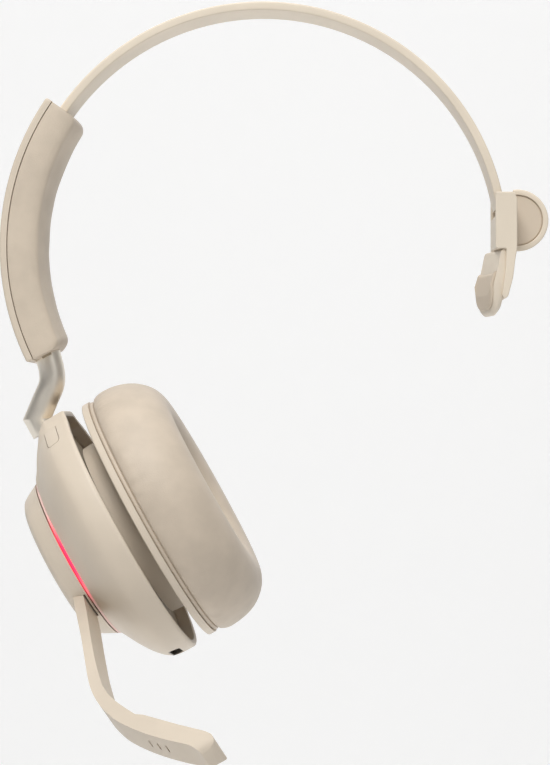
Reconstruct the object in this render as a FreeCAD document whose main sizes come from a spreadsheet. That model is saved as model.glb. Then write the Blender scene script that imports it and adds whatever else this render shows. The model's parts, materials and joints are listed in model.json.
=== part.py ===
"""Wireless mono headset: spring headband with a padded sleeve, one ear cup with a boom microphone, temple support.

The frame: X to the wearer's other ear, Z up, Y along the band's width, and the origin at the centre of the
band's arc. Angles round the arc are counted from +X towards +Z. The ear cup and the boom have frames of their
own, in which every piece is built before its Placement puts it in the headset.
"""

import FreeCAD, Part
import math
import os

import Sketcher
from FreeCAD import Placement, Rotation, Vector

DIMENSIONS = {
    # headband, mm and degrees round the arc
    "band_inner": 63.5, "band_thick": 2.3, "band_width": 14.4, "band_tip": 9.2, "band_tail": 160.0,
    "core_gap": 0.7, "core_width": 9.0,
    # padded sleeve
    "sleeve_first": 145.3, "sleeve_last": 206.5, "sleeve_outer": 69.8, "shell_thick": 2.0,
    "pad_inner": 57.9, "pad_thick": 3.1, "sleeve_width": 21.0, "frame_width": 16.4,
    # slide runner in its channel
    "channel_inner": 63.1, "channel_outer": 66.3, "channel_width": 10.8, "channel_first": 165.0,
    "runner_first": 180.0, "slide_gap": 0.3,
    # bent arm and its swivel pin
    "rod_radius": 3.5, "rod_circle": 64.7, "pin_radius": 2.2, "bush_radius": 3.4, "swivel_offset": 8.0,
    # ear cup: depths are along its axis, from the rim plane
    "cup_tilt": 29.2, "cup_radius": 36.0, "cup_depth": 15.7, "cup_wall": 2.0, "floor_radius": 23.3,
    "cover_depth": 4.5, "cover_thick": 1.5, "lug_top": 36.4, "lug_width": 19.0,
    "light_thick": 0.6, "light_inner": 20.9,
    # speaker side
    "neck_radius": 25.0, "plate_radius": 35.3, "plate_back": 4.5, "plate_thick": 2.0, "piping": 1.0,
    "cushion_radius": 36.0, "cushion_front": 25.0, "cushion_hole": 17.0,
    # boom and its hub
    "boom_width": 8.0, "boom_swing": 56.0, "hub_back": 16.6, "hub_shoulder": 20.6, "hub_front": 22.6,
    "hub_radius": 23.0, "hub_top_radius": 20.5, "shaft_radius": 4.9, "boom_root": 13.5,
    # temple support
    "block_left": 62.3, "block_right": 68.0, "block_top": 14.2, "block_bottom": -0.7, "block_width": 18.6,
    "disc_radius": 8.4, "disc_thick": 3.5, "disc_rim": 1.5,
    # fits
    "running": 0.05,
}

doc = FreeCAD.newDocument("mono_headset")
sheet = doc.addObject("Spreadsheet::Sheet", "Dimensions")
parts = {}


class Size:
    """A number together with the sheet formula that gives it, so one expression does both."""

    def __init__(self, number, formula):
        self.number = float(number)
        self.formula = formula

    def __add__(self, other):
        other = as_size(other)
        return Size(self.number + other.number, f"({self.formula} + {other.formula})")

    def __sub__(self, other):
        other = as_size(other)
        return Size(self.number - other.number, f"({self.formula} - {other.formula})")

    def __mul__(self, other):
        other = as_size(other)
        return Size(self.number * other.number, f"({self.formula} * {other.formula})")

    def __radd__(self, other):
        return as_size(other) + self

    def __rsub__(self, other):
        return as_size(other) - self

    def __rmul__(self, other):
        return as_size(other) * self

    def __neg__(self):
        return as_size(0) - self


def as_size(value):
    return value if isinstance(value, Size) else Size(value, f"({float(value)})")


def fill_sheet():
    """Writes every dimension to its cell, and returns them by name."""
    sizes = {}
    for row, (name, value) in enumerate(DIMENSIONS.items(), start=1):
        sheet.set(f"A{row}", name)
        sheet.set(f"B{row}", str(value))
        sheet.setAlias(f"B{row}", name)
        sizes[name] = Size(value, f"Dimensions.{name}")
    doc.recompute()
    return type("Dims", (), sizes)


dim = fill_sheet()


def bind(thing, **properties):
    for name, value in properties.items():
        thing.setExpression(name, as_size(value).formula)


def keep(label, thing, placement=None):
    """Registers a finished sub-part under its label and puts it in its place."""
    thing.Label = label
    if placement is not None:
        thing.Placement = placement * thing.Placement
    parts[label] = thing
    return thing


def draw(body, role, corners):
    """A closed outline of straight lines on one of the body's origin planes, each corner bound to the sheet."""
    sketch = body.newObject("Sketcher::SketchObject", "Outline")
    plane = [feature for feature in body.Origin.OriginFeatures if feature.Role == role][0]
    sketch.AttachmentSupport = (plane, [""])
    sketch.MapMode = "FlatFace"
    points = [(as_size(x), as_size(y)) for x, y in corners]
    count = len(points)
    for index in range(count):
        start, end = points[index], points[(index + 1) % count]
        line = Part.LineSegment(
            Vector(start[0].number, start[1].number, 0), Vector(end[0].number, end[1].number, 0)
        )
        sketch.addGeometry(line, False)
    for index in range(count):
        sketch.addConstraint(Sketcher.Constraint("Coincident", index, 2, (index + 1) % count, 1))
    for index, point in enumerate(points):
        for kind, size in zip(("DistanceX", "DistanceY"), point):
            number = sketch.addConstraint(Sketcher.Constraint(kind, -1, 1, index, 1, size.number))
            sketch.setExpression(f"Constraints[{number}]", size.formula)
    return sketch


def turned(name, profile):
    """A solid of revolution about local X, from (depth, radius) corners."""
    body = doc.addObject("PartDesign::Body", name)
    sketch = draw(body, "XZ_Plane", profile)
    turn = body.newObject("PartDesign::Revolution", "Turn")
    turn.Profile = sketch
    turn.ReferenceAxis = (sketch, ["H_Axis"])
    turn.Angle = 360.0
    return body


def tube(name, back, front, outer, inner=0):
    """A ring or a disc along local X, between two depths."""
    return turned(name, [(back, inner), (front, inner), (front, outer), (back, outer)])


def plate(name, outline, width):
    """A plate in the local XZ plane, as wide as given and centred on it."""
    body = doc.addObject("PartDesign::Body", name)
    sketch = draw(body, "XZ_Plane", outline)
    pad = body.newObject("PartDesign::Pad", "Plate")
    pad.Profile = sketch
    pad.SideType = "Symmetric"
    bind(pad, Length=width)
    return body


def arc(name, inner, outer, width, first, last):
    """A curved bar about the origin, from one angle round the arc to another."""
    body = doc.addObject("PartDesign::Body", name)
    half = width * 0.5
    sketch = draw(body, "XY_Plane", [(inner, -half), (outer, -half), (outer, half), (inner, half)])
    turn = body.newObject("PartDesign::Revolution", "Sweep")
    turn.Profile = sketch
    turn.ReferenceAxis = (sketch, ["V_Axis"])
    bind(turn, Angle=as_size(last) - first)
    body.Placement = Placement(Vector(), Rotation(Vector(0, -1, 0), as_size(last).number))
    return body


def box(name, low, high):
    """A block between two corners."""
    block = doc.addObject("Part::Box", name)
    low, high = [as_size(v) for v in low], [as_size(v) for v in high]
    bind(block, Length=high[0] - low[0], Width=high[1] - low[1], Height=high[2] - low[2])
    block.Placement.Base = Vector(*(v.number for v in low))
    return block


def rod(name, radius, length, start, direction):
    """A round bar from a point along a direction."""
    cylinder = doc.addObject("Part::Cylinder", name)
    bind(cylinder, Radius=radius, Height=length)
    cylinder.Placement = Placement(Vector(*start), Rotation(Vector(0, 0, 1), Vector(*direction)))
    return cylinder


def joined(name, *shapes):
    fuse = doc.addObject("Part::MultiFuse", name)
    fuse.Shapes = list(shapes)
    fuse.Refine = True
    return fuse


def grouped(name, *shapes):
    """Separate solids that share one node."""
    group = doc.addObject("Part::Compound", name)
    group.Links = list(shapes)
    return group


def cut(name, base, *tools):
    """The base with every tool taken out of it."""
    result = base
    for number, tool in enumerate(tools):
        step = doc.addObject("Part::Cut", f"{name}_{number}")
        step.Base = result
        step.Tool = tool
        step.Refine = True
        result = step
    return result


def on_arc(radius, angle, side=0.0):
    turn = math.radians(angle)
    return (radius * math.cos(turn), side, radius * math.sin(turn))


# ---------------------------------------------------------------- headband and sleeve
band_outer = dim.band_inner + dim.band_thick
core_inner = dim.band_inner + dim.core_gap
core_outer = band_outer - dim.core_gap
HINGE_ANGLE = 10.3
HINGE_PIN_RADIUS = 0.8
hinge_point = on_arc(DIMENSIONS["band_inner"] + DIMENSIONS["band_thick"] / 2, HINGE_ANGLE)
SCREWS = ((162.5, 0.0), (200.0, -6.8), (200.0, 6.8))


def hinge_bore(name, radius):
    """A hole across the band's tip, along Y."""
    reach = 30
    start = (hinge_point[0], -reach / 2, hinge_point[2])
    return rod(name, radius, reach, start, (0, 1, 0))


def make_headband():
    core = arc("core", core_inner, core_outer, dim.core_width, dim.band_tip, dim.band_tail)
    band = arc("band", dim.band_inner, band_outer, dim.band_width, dim.band_tip, dim.band_tail)
    slot = arc("core_slot", core_inner, core_outer, dim.core_width, dim.band_tip, dim.band_tail)
    bore = HINGE_PIN_RADIUS + dim.running
    keep("band_core", cut("core_drilled", core, hinge_bore("core_bore", bore)))
    keep("band_cover", cut("band_slotted", band, slot, hinge_bore("band_bore", bore)))


def sleeve_screw(name, angle, side, gap=0):
    """A small screw from the sleeve's frame into its shell: its head is on the wearer's side."""
    outward = on_arc(1, angle)
    head = rod(name + "_head", 1.3 + gap, 1.2, on_arc(61.0, angle, side), outward)
    shank = rod(name + "_shank", 0.9 + gap, 7.0, on_arc(62.0, angle, side), outward)
    return joined(name, head, shank)


def make_sleeve():
    shell_inner = dim.sleeve_outer - dim.shell_thick
    frame_inner = dim.pad_inner + dim.pad_thick
    end_wall = 0.5
    frame_first, frame_last = dim.sleeve_first + end_wall, dim.sleeve_last - end_wall
    pocket = ("pocket", dim.band_inner, band_outer, dim.band_width, dim.sleeve_first - 1, dim.band_tail)
    channel = ("channel", dim.channel_inner, dim.channel_outer, dim.channel_width,
               dim.channel_first, dim.sleeve_last + 1)
    shell = arc("shell", shell_inner, dim.sleeve_outer, dim.sleeve_width, dim.sleeve_first, dim.sleeve_last)
    frame = arc("frame", frame_inner, shell_inner, dim.frame_width, frame_first, frame_last)
    room = arc("frame_room", frame_inner, shell_inner, dim.frame_width, frame_first, frame_last)
    pad = arc("pad", dim.pad_inner, shell_inner, dim.sleeve_width, dim.sleeve_first, dim.sleeve_last)
    spring_room = arc("spring_room", dim.channel_outer - 0.1, dim.channel_outer + 0.7, 5, 167, 179)
    screws = [sleeve_screw(f"screw_{index}", *place) for index, place in enumerate(SCREWS)]
    shell_holes = [sleeve_screw(f"shell_hole_{index}", *place) for index, place in enumerate(SCREWS)]
    frame_holes = [sleeve_screw(f"frame_hole_{index}", *place) for index, place in enumerate(SCREWS)]
    keep("sleeve_shell", cut("shell_cut", shell, *shell_holes))
    keep("sleeve_frame", cut("frame_cut", frame, arc(*pocket), arc(*channel), spring_room, *frame_holes))
    keep("sleeve_pad", cut("pad_cut", pad, room, arc(*pocket), arc(*channel)))
    keep("sleeve_screws", grouped("screws", *screws))
    keep("detent_spring", arc("spring", dim.channel_outer + 0.1, dim.channel_outer + 0.5, 4, 168, 178))


# ---------------------------------------------------------------- ear cup frame
CUP_CENTRE = Vector(-35.3, 0, -75.5)
cup_place = Placement(CUP_CENTRE, Rotation(Vector(0, 1, 0), -DIMENSIONS["cup_tilt"]))
boom_place = cup_place * Placement(Vector(), Rotation(Vector(1, 0, 0), -DIMENSIONS["boom_swing"]))


def in_cup(point):
    """A point of the headset's frame, in the ear cup's frame."""
    return cup_place.inverse().multVec(point)


# ---------------------------------------------------------------- arm
ROD_FOOT = 29.5
PIN_FOOT = 21.8


def bar_between(name, radius, start, end):
    run = end - start
    return rod(name, radius, run.Length, start, run)


def make_arm():
    """The bent rod leaves the sleeve, jogs outwards and turns into line with the cup, where its pin carries it."""
    runner_inner = dim.channel_inner + dim.slide_gap
    runner_outer = dim.channel_outer - dim.slide_gap
    runner_width = dim.channel_width - 2 * dim.slide_gap
    keep("slide_runner", arc("runner", runner_inner, runner_outer, runner_width,
                             dim.runner_first, dim.sleeve_last + dim.slide_gap))
    tilt = math.radians(DIMENSIONS["cup_tilt"])
    down = Vector(math.sin(tilt), 0, -math.cos(tilt))
    offset = DIMENSIONS["swivel_offset"]
    top = Vector(*on_arc(DIMENSIONS["rod_circle"], DIMENSIONS["sleeve_last"] - 3))
    bend = Vector(-57.0, 0, -36.2)
    knee = cup_place.multVec(Vector(-offset, 0, 38.2))
    foot = cup_place.multVec(Vector(-offset, 0, ROD_FOOT))
    corners = []
    for name, point in (("bend_ball", bend), ("knee_ball", knee)):
        ball = doc.addObject("Part::Sphere", name)
        bind(ball, Radius=dim.rod_radius)
        ball.Placement.Base = point
        corners.append(ball)
    runs = [bar_between("upper_run", dim.rod_radius, top, bend), bar_between("middle_run", dim.rod_radius, bend, knee),
            bar_between("lower_run", dim.rod_radius, knee, foot)]
    mouth = dim.sleeve_last + dim.slide_gap
    sleeve_room = arc("rod_trim", 50, 80, 30, dim.sleeve_last - 12, mouth)
    keep("arm_rod", cut("rod_cut", joined("rod", *runs, *corners), sleeve_room))
    keep("swivel_pin", rod("pin", dim.pin_radius, ROD_FOOT - PIN_FOOT, foot, down))
    clip = tube("clip", -0.6, 0, 3.4, dim.pin_radius)
    keep("swivel_clip", clip, cup_place * Placement(Vector(-offset, 0, 23.0), Rotation(Vector(0, 1, 0), -90)))


# ---------------------------------------------------------------- ear cup
PORT_ANGLE = 166.5
BUTTON_ANGLE = 29.0
ROCKER_ANGLE = -90.0
POWER_ANGLE = -125.0


def round_rim(angle):
    """A place on the cup's axis turned about it: local Z then points out of the rim, counted from the top to -Y."""
    return Placement(Vector(), Rotation(Vector(1, 0, 0), angle))


def rim_block(name, angle, depth, length, width, low, high, gap=0.0):
    """A block through the rim: its depth along the axis, its length round the rim, and its two radii."""
    block = box(name, (depth - length / 2 - gap, -width / 2 - gap, low), (depth + length / 2 + gap, width / 2 + gap, high))
    block.Placement = round_rim(angle) * block.Placement
    return block


def make_housing():
    wall = dim.cup_wall
    outer = [(0, dim.cup_radius), (-5.6, dim.cup_radius - 0.2), (-9.6, 33.0), (-14.6, 25.3),
             (-dim.cup_depth, dim.floor_radius)]
    inner = [(-dim.cup_depth + wall, dim.floor_radius - 0.8), (-8.6, 31.2), (-5.0, dim.cup_radius - wall),
             (0, dim.cup_radius - wall)]
    bore = dim.shaft_radius + dim.running
    shell = turned("housing_shell", outer + [(-dim.cup_depth, bore), (-dim.cup_depth + wall, bore)] + inner)
    lug = plate("lug", [(-0.4, dim.lug_top), (-6.0, dim.lug_top), (-8.2, 33.7), (-12.1, 28.2), (-13.9, 25.2),
                        (-12.0, 21.0), (-5.0, 21.0), (-5.0, 34.5), (-0.4, 34.5)], dim.lug_width)
    posts = [rod(f"post_{angle}", 2.6, 6.0, rim_point(-10.5, 29.0, angle), (1, 0, 0)) for angle in SCREW_ANGLES]
    swivel = (-DIMENSIONS["swivel_offset"], 0)
    rod_room = rod("rod_room", dim.rod_radius + 0.3, 20, (*swivel, 29.2), (0, 0, 1))
    bush_room = rod("bush_room", dim.bush_radius, 6, (*swivel, 24.0), (0, 0, 1))
    clip_room = rod("clip_room", 4.2, 8, (*swivel, 16.5), (0, 0, 1))
    screw_holes = [rod(f"hole_{angle}", 0.9, 6.0, rim_point(-9.0, 29.0, angle), (1, 0, 0)) for angle in SCREW_ANGLES]
    openings = [
        rim_block("port_room", PORT_ANGLE, -4.8, 3.2, 9.0, 28, 40),
        rim_block("button_room", BUTTON_ANGLE, -5.1, 3.6, 8.5, 30, 40, 0.25),
        rim_block("rocker_room", ROCKER_ANGLE, -5.0, 3.6, 16.0, 30, 40, 0.25),
        rim_block("power_room", POWER_ANGLE, -5.0, 3.0, 9.0, 30, 40, 0.0),
    ]
    housing = joined("housing", shell, lug, *posts)
    keep("cup_housing", cut("housing_cut", housing, rod_room, bush_room, clip_room, *screw_holes, *openings), cup_place)


SCREW_ANGLES = (60, 180, 300)


def rim_point(depth, radius, angle):
    turn = math.radians(angle)
    return (depth, -radius * math.sin(turn), radius * math.cos(turn))


def cover_screw(name, angle):
    head = rod(name + "_head", 1.8, 0.9, rim_point(-3.0, 29.0, angle), (1, 0, 0))
    shank = rod(name + "_shank", 0.9, 6.0, rim_point(-9.0, 29.0, angle), (1, 0, 0))
    return joined(name, head, shank)


def make_cup_inside():
    back, thick = dim.cover_depth, dim.cover_thick
    cover = tube("cover", -back, thick - back, dim.cup_radius - 2.6)
    knuckle = box("knuckle", (-3.2, -3.0, -3.0), (3.2, 3.0, 3.0))
    knuckle_bore = rod("knuckle_bore", 1.0 + dim.running, 10, (1.2, -5, 0), (0, 1, 0))
    port_room = rim_block("port_notch", PORT_ANGLE, -4.8, 3.2, 9.0, 28, 40, 0.2)
    holes = [rod(f"cover_hole_{angle}", 0.9, 4, rim_point(-6.0, 29.0, angle), (1, 0, 0)) for angle in SCREW_ANGLES]
    keep("inner_cover", cut("cover_cut", joined("cover_body", cover, knuckle), knuckle_bore, port_room, *holes), cup_place)
    keep("cover_screws", grouped("screws", *[cover_screw(f"cover_screw_{a}", a) for a in SCREW_ANGLES]), cup_place)
    keep("light_ring", tube("light", -dim.cup_depth - dim.light_thick, -dim.cup_depth, dim.floor_radius - 0.1,
                            dim.light_inner), cup_place)
    keep("main_board", tube("board", -12.2, -11.2, 19.5), cup_place)
    keep("battery", box("cell", (-10.8, -14.0, -22.0), (-6.2, 14.0, -6.0)), cup_place)
    keep("swivel_bush", tube("bush", 0, 5.0, dim.bush_radius, dim.pin_radius + dim.running),
         cup_place * Placement(Vector(-DIMENSIONS["swivel_offset"], 0, 24.0), Rotation(Vector(0, 1, 0), -90)))
    port = rim_block("port_shell", PORT_ANGLE, -4.8, 3.2, 9.0, 28.5, 35.3)
    port_room = rim_block("port_mouth", PORT_ANGLE, -4.8, 2.6, 8.4, 29.5, 40)
    tongue = rim_block("port_tongue", PORT_ANGLE, -4.8, 0.7, 6.7, 28.5, 34.3)
    keep("charging_port", joined("port", cut("port_cut", port, port_room), tongue), cup_place)


def make_buttons():
    keep("call_button", rim_block("call", BUTTON_ANGLE, -5.1, 3.6, 8.5, 34.0, 35.9), cup_place)
    keep("volume_rocker", rim_block("rocker", ROCKER_ANGLE, -5.0, 3.6, 16.0, 34.0, 36.5), cup_place)
    window = rim_block("power_frame", POWER_ANGLE, -5.0, 3.0, 9.0, 34.2, 35.4)
    way = rim_block("power_way", POWER_ANGLE, -5.0, 2.2, 8.0, 33.0, 40.0)
    keep("power_window", cut("power_cut", window, way), cup_place)
    keep("power_slider", rim_block("power", POWER_ANGLE, -5.0, 1.9, 3.5, 34.2, 36.2), cup_place)


# ---------------------------------------------------------------- speaker side
def make_speaker():
    front = dim.plate_back + dim.plate_thick
    body = turned("speaker_body", [(-0.9, 0), (-0.9, dim.neck_radius), (dim.plate_back, dim.neck_radius),
                                   (dim.plate_back, dim.plate_radius), (front, dim.plate_radius), (front, 0)])
    room = box("knuckle_room", (-2, -3.3, -5.0), (4.6, 3.3, 5.0))
    pin_hole = rod("pin_hole", 1.0, 16, (1.2, -8, 0), (0, 1, 0))
    screw_room = [rod(f"head_room_{a}", 3.0, 3, rim_point(-1, 29, a), (1, 0, 0)) for a in SCREW_ANGLES]
    keep("speaker_plate", cut("plate_cut", body, room, pin_hole, *screw_room), cup_place)
    keep("tilt_pin", rod("tilt_axle", 1.0, 16, (1.2, -8, 0), (0, 1, 0)), cup_place)
    seam = front + dim.piping
    keep("cushion_ring", tube("ring", front, seam, dim.plate_radius - 0.4, dim.cushion_hole + 1), cup_place)
    hole, rim = dim.cushion_hole, dim.cushion_radius
    keep("ear_cushion", turned("cushion", [(seam, hole), (seam, rim - 0.7), (seam + 1.5, rim), (17.4, rim - 1.3),
                                           (22.1, rim - 4.0), (dim.cushion_front, rim - 8.5),
                                           (dim.cushion_front, hole + 4.5), (22.5, hole + 1.5),
                                           (19.0, hole)]), cup_place)
    basket = turned("basket", [(front, 0), (front, 15.5), (11.0, 15.5), (11.0, 13.0), (front + 1, 13.0), (front + 1, 0)])
    keep("speaker_basket", basket, cup_place)
    keep("speaker_magnet", tube("magnet", front + 1, front + 3, 7.5), cup_place)
    keep("speaker_diaphragm", turned("diaphragm", [(10.4, 0), (10.4, 4.0), (9.8, 12.9), (10.2, 12.9), (10.8, 4.2),
                                                  (10.8, 0)]), cup_place)
    keep("speaker_cloth", tube("cloth", 11.4, 12.0, dim.cushion_hole - 0.05), cup_place)


# ---------------------------------------------------------------- boom
OUTER_EDGE = [(28.5, -20.9), (38.7, -21.6), (53.1, -23.0), (58.9, -23.2), (63.5, -22.9), (68.2, -21.9), (75.8, -19.1),
              (83.8, -14.4), (90.4, -9.6), (95.0, -5.8), (97.2, -4.3), (99.0, -3.2)]
HEAD_FACE = [(77.0, -15.0), (88.3, -6.7), (94.6, -2.0), (97.2, -0.8), (98.7, -1.0)]
HEAD_TOP = [(98.1, 0.9), (96.6, 0.9), (94.4, -0.4), (87.6, -5.7), (77.7, -13.0), (76.2, -14.6)]
INNER_EDGE = [(70.6, -17.2), (65.0, -19.2), (61.0, -20.0), (57.6, -20.1), (49.2, -19.9), (39.5, -19.1), (28.7, -18.0),
              (17.5, -17.3)]
CAPSULES = (80.5, 86.0)


def boom_plate(name, outline, width):
    """A plate in the boom's plane: corners are (distance from the cup's axis, depth along it)."""
    return plate(name, [(depth, -as_size(reach)) for reach, depth in outline], width)


def capsule(name, reach, radius, height, sunk=0.0):
    """A disc set into the microphone head, square to the head's slope and sunk below its face."""
    along = (reach - HEAD_FACE[0][0]) / (HEAD_FACE[1][0] - HEAD_FACE[0][0])
    depth = HEAD_FACE[0][1] + along * (HEAD_FACE[1][1] - HEAD_FACE[0][1])
    inward = Vector(-0.806, 0, -0.592)
    return rod(name, radius, height, Vector(depth, 0, -reach) + inward * sunk, inward)


def make_boom():
    root, width = dim.boom_root, dim.boom_width
    slot = boom_plate("root_slot", [(root, -30), (30, -30), (30, -16), (root, -16)], width)
    disc = turned("disc", [(-dim.hub_back, 0), (-dim.hub_back, dim.hub_radius), (-19.8, 21.2),
                           (-dim.hub_shoulder, dim.hub_top_radius), (-dim.hub_shoulder, 0)])
    shaft = tube("shaft", -dim.hub_back - 1, -12.6, dim.shaft_radius)
    keep("boom_hub", joined("hub", cut("disc_cut", disc, slot), shaft), boom_place)
    cap = turned("cap", [(-dim.hub_shoulder, 0), (-dim.hub_shoulder, dim.hub_top_radius), (-21.8, 19.8),
                         (-dim.hub_front + 0.2, 18.0), (-dim.hub_front, 0)])
    keep("hub_cap", cap, boom_place)
    keep("hub_clip", tube("e_clip", -13.5, -12.9, 6.8, dim.shaft_radius), boom_place)
    keep("friction_washer", tube("washer", -dim.hub_back, -dim.cup_depth - 0.05, 9.0, dim.shaft_radius + 0.3), boom_place)
    outline = [(root, -19.8)] + OUTER_EDGE + HEAD_FACE[::-1] + HEAD_TOP[-1:] + INNER_EDGE + [(root, -17.0)]
    arm = boom_plate("arm", outline, width)
    holes = [capsule(f"capsule_room_{reach}", reach, 2.0, 1.8) for reach in CAPSULES]
    keep("boom_arm", cut("arm_cut", arm, *holes), boom_place)
    keep("microphone_cover", boom_plate("mic_cover", HEAD_FACE + HEAD_TOP, width), boom_place)
    capsules = [capsule(f"capsule_{reach}", reach, 2.0, 1.5, 0.2) for reach in CAPSULES]
    keep("microphone_capsules", grouped("capsules", *capsules), boom_place)


# ---------------------------------------------------------------- temple support
DISC_CENTRE = (69.0, 7.7)
DISC_FACE = 1.5
PADDLE_TURN = 11.0
PADDLE_HALF = 8.5


def make_temple():
    left, right, top, bottom = dim.block_left, dim.block_right, dim.block_top, dim.block_bottom
    outline = [(left, top), (right, top), (right, bottom), (67.4, -3.1), (66.9, -8.5), (65.5, -13.6), (64.6, -14.2),
               (63.9, -13.4), (64.8, -5.0), (65.1, bottom), (left, bottom)]
    solid = plate("block", outline, dim.block_width)
    channel = box("band_channel", (60, -dim.band_width * 0.5 - 0.3, 8.2), (66.0, dim.band_width * 0.5 + 0.3, 20))
    bore = hinge_bore("block_bore", HINGE_PIN_RADIUS)
    keep("temple_block", cut("block_cut", solid, channel, bore))
    pin_length = 17.6
    start = (hinge_point[0], -pin_length / 2, hinge_point[2])
    keep("temple_pin", rod("hinge_pin", HINGE_PIN_RADIUS, pin_length, start, (0, 1, 0)))
    near_edge = Vector(0, -PADDLE_HALF, 0)
    turn = Placement(Vector(63.4, -PADDLE_HALF, 0), Rotation(Vector(0, 0, 1), PADDLE_TURN)) * Placement(-near_edge, Rotation())
    face = [(-2.3, -7.0), (-3.4, -13.0), (-3.4, -17.2)]
    paddle = [(-1.1, bottom), (1.1, bottom), (0.6, -6.0), (-0.3, -13.0), (-1.2, -17.4), (-2.4, -18.8), (-3.4, -17.2)]
    keep("temple_paddle", plate("paddle", paddle + face[1::-1], 2 * PADDLE_HALF), turn)
    pad = [(x - 0.9, z) for x, z in face]
    keep("temple_pad", plate("paddle_pad", face + pad[::-1], 16.0), turn)
    centre_x, centre_z = DISC_CENTRE
    disc = rod("round_disc", dim.disc_radius, dim.disc_thick, (centre_x, DISC_FACE, centre_z), (0, 1, 0))
    inset = rod("disc_inset", dim.disc_radius - dim.disc_rim, 1.2, (centre_x, DISC_FACE - 0.2, centre_z), (0, 1, 0))
    block_room = box("block_room", (60, -10, -2), (right, 10, 20))
    pad_room = box("pad_room", (60, -10, -2), (right, 10, 20))
    keep("side_disc", cut("disc_trim", disc, inset, block_room))
    insert = rod("disc_pad", dim.disc_radius - dim.disc_rim, 0.5, (centre_x, DISC_FACE + 0.5, centre_z), (0, 1, 0))
    keep("side_disc_pad", cut("pad_trim", insert, pad_room))


def check_and_write():
    """Every object has computed and every sub-part is sound before anything is written."""
    doc.recompute()
    failed = [thing.Name for thing in doc.Objects if "Invalid" in thing.State or "Error" in thing.State]
    bad = [name for name, thing in parts.items() if thing.Shape.isNull() or not thing.Shape.isValid()]
    if failed or bad:
        raise SystemExit(f"failed objects {failed}, bad shapes {bad}")
    os.makedirs("parts", exist_ok=True)
    for name, thing in parts.items():
        thing.Shape.exportStep(os.path.join("parts", name + ".step"))
    print(len(parts), "sub-parts written")


make_headband()
make_sleeve()
make_arm()
make_housing()
make_cup_inside()
make_buttons()
make_speaker()
make_boom()
make_temple()
check_and_write()
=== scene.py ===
"""Looks of the wireless mono headset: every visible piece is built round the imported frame.

Sizes are millimetres in the piece's own frame, and MM turns them into metres. The band and the sleeve lie on arcs
about the origin. The cup's pieces are built upright, with X along the cup's axis towards the head and Z up, and the
CUP matrix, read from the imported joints, puts them in place. BOOM is the same frame turned to where the boom hangs.
"""

import json
import math

import bmesh
import bpy
from mathutils import Matrix, Vector, noise


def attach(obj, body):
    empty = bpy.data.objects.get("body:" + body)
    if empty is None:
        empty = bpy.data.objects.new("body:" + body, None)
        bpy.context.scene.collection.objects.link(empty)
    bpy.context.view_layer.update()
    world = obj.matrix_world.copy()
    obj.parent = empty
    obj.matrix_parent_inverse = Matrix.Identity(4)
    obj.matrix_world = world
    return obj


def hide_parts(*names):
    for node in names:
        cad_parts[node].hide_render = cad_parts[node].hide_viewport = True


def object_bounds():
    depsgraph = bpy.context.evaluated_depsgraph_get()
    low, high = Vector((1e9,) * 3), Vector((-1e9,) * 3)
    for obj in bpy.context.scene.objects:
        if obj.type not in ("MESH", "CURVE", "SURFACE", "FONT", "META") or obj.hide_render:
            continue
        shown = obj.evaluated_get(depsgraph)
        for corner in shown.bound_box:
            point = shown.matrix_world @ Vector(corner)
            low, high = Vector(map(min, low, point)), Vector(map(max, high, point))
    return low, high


MM = 0.001
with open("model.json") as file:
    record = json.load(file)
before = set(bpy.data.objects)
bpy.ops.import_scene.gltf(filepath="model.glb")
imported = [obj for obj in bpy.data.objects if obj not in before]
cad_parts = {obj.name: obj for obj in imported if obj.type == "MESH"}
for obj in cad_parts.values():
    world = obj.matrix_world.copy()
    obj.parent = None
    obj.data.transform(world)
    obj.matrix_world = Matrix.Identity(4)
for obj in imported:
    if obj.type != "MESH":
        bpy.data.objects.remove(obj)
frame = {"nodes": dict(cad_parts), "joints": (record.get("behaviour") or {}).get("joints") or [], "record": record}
cad_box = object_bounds()
joints = {joint["name"]: joint for joint in frame["joints"]}


def frame_along(position, axis):
    """A frame with X along the axis and Y kept across the headset."""
    along = Vector(axis).normalized()
    across = Vector((0, 1, 0))
    up = along.cross(across)
    turn = Matrix((along, across, up)).transposed().to_4x4()
    return Matrix.Translation(Vector(position)) @ turn


BOOM_HANG = math.radians(-56.0)
WORLD = Matrix.Identity(4)
CUP = frame_along(joints["boom_swing"]["pos_m"], joints["boom_swing"]["axis"])
BOOM = CUP @ Matrix.Rotation(BOOM_HANG, 4, "X")

# driving sizes, the same as the frame's
BAND_INNER, BAND_OUTER, BAND_HALF = 63.5, 65.8, 7.2
SLEEVE_FIRST, SLEEVE_LAST = 145.3, 206.5
SHELL_OUTER, SHELL_INNER, PAD_INNER, SLEEVE_HALF = 69.8, 67.9, 57.9, 10.5
ROD_RADIUS, ROD_CIRCLE, SWIVEL_OFFSET = 3.5, 64.7, 8.0
CUP_RADIUS, FLOOR_RADIUS, CUP_DEPTH = 36.0, 23.3, 15.7
CUSHION_FRONT = 25.0
BOOM_HALF = 4.0


# ------------------------------------------------------------------------------------------------ materials
def new_material(name, colour, roughness):
    material = bpy.data.materials.new(name)
    material.use_nodes = True
    shader = material.node_tree.nodes["Principled BSDF"]
    shader.inputs["Base Color"].default_value = (*colour, 1)
    shader.inputs["Roughness"].default_value = roughness
    return material, material.node_tree, shader


def add_node(tree, kind, links=(), **settings):
    """A node with its settings, and links given as (input, socket or value)."""
    node = tree.nodes.new(kind)
    for key, value in settings.items():
        setattr(node, key, value)
    for name, source in links:
        if isinstance(source, bpy.types.NodeSocket):
            tree.links.new(source, node.inputs[name])
        else:
            node.inputs[name].default_value = source
    return node


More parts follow.
